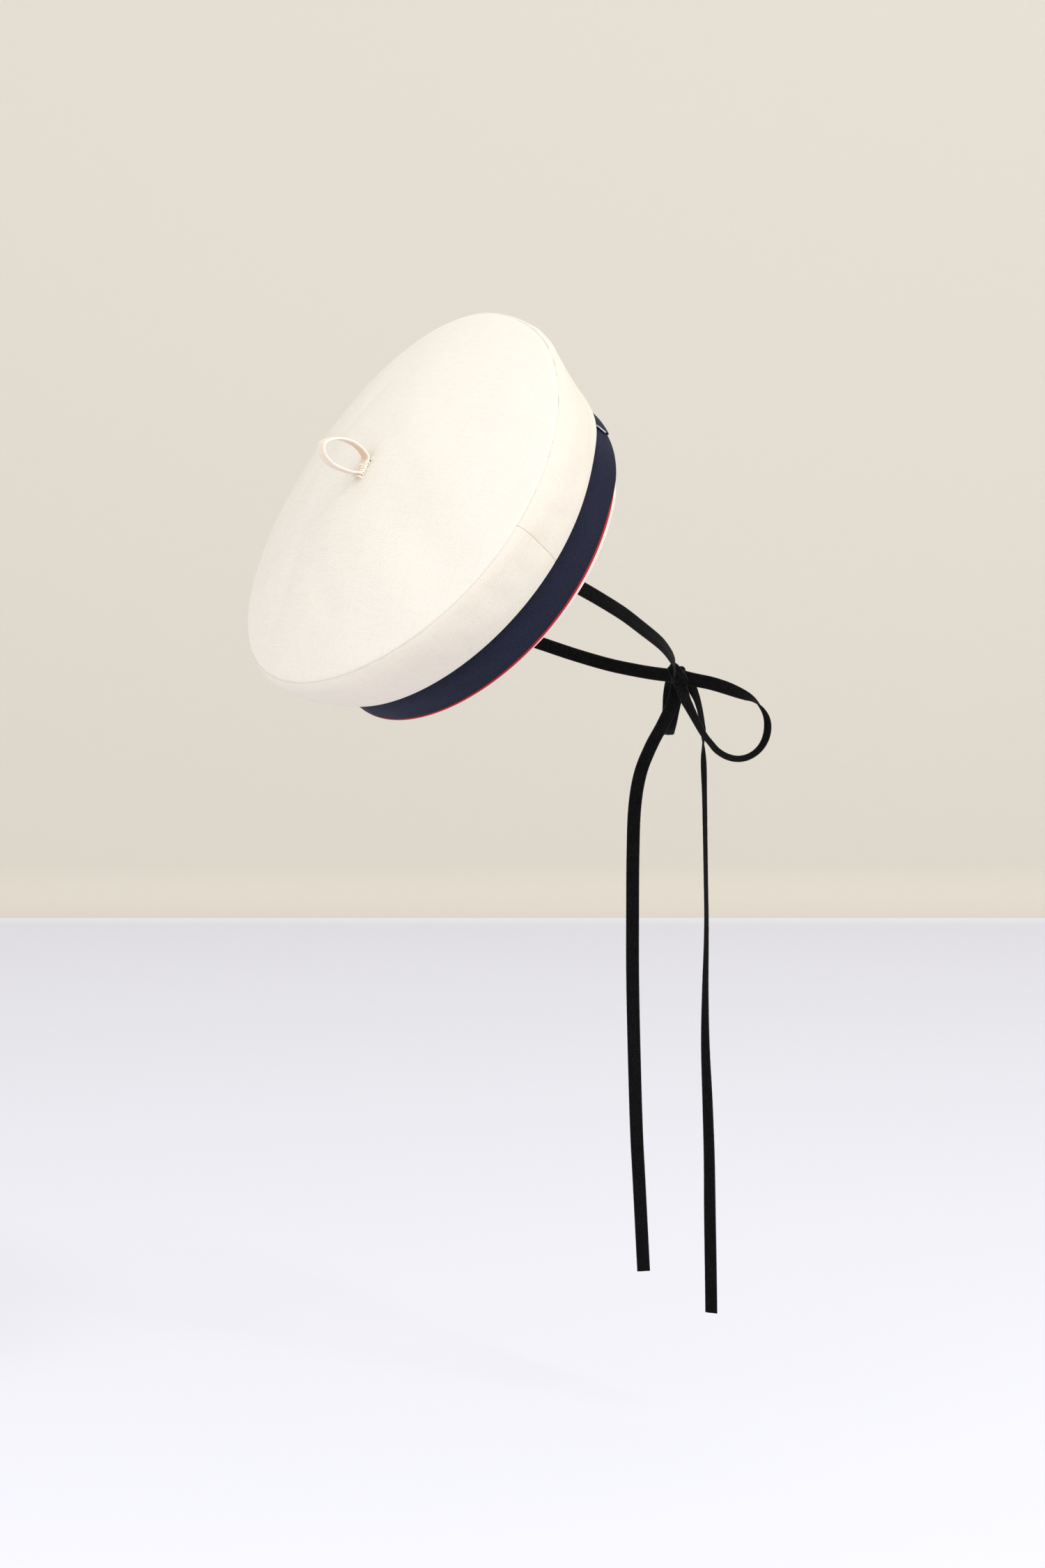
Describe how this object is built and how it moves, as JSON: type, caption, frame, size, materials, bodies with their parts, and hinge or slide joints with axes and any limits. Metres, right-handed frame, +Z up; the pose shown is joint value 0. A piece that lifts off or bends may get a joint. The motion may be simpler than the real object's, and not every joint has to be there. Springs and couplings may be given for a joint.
{
  "type": "sailor cap",
  "caption": "Soft sailor cap with a domed canvas crown, a ribbed ribbon band edged in red, a small tape loop on top and velvet ties knotted in a bow at the nape.",
  "frame": {"origin": "centre of the head opening, level with the ribbon's lower edge", "axes": "+Z up, the wearer faces -Y, the wearer's left is +X; the cap is worn tipped forward 57.4 degrees about X"},
  "size_m": [0.2158, 0.249, 0.5266],
  "materials": {
    "cream_canvas": "matte",
    "navy_grosgrain": "matte",
    "red_edging": "matte",
    "black_velvet": "matte"
  },
  "bodies": {
    "root": {"crown_tip": "cream_canvas", "side_panel_front": "cream_canvas", "side_panel_back": "cream_canvas", "head_band": "cream_canvas", "grosgrain_ribbon": "navy_grosgrain", "ribbon_lap": "navy_grosgrain", "red_edge": "red_edging", "crown_loop": "cream_canvas", "left_strap": "black_velvet", "right_strap": "black_velvet", "bow_knot": "black_velvet", "left_bow_loop": "black_velvet", "right_bow_loop": "black_velvet", "left_tail": "black_velvet", "right_tail": "black_velvet"}
  },
  "joints": []
}
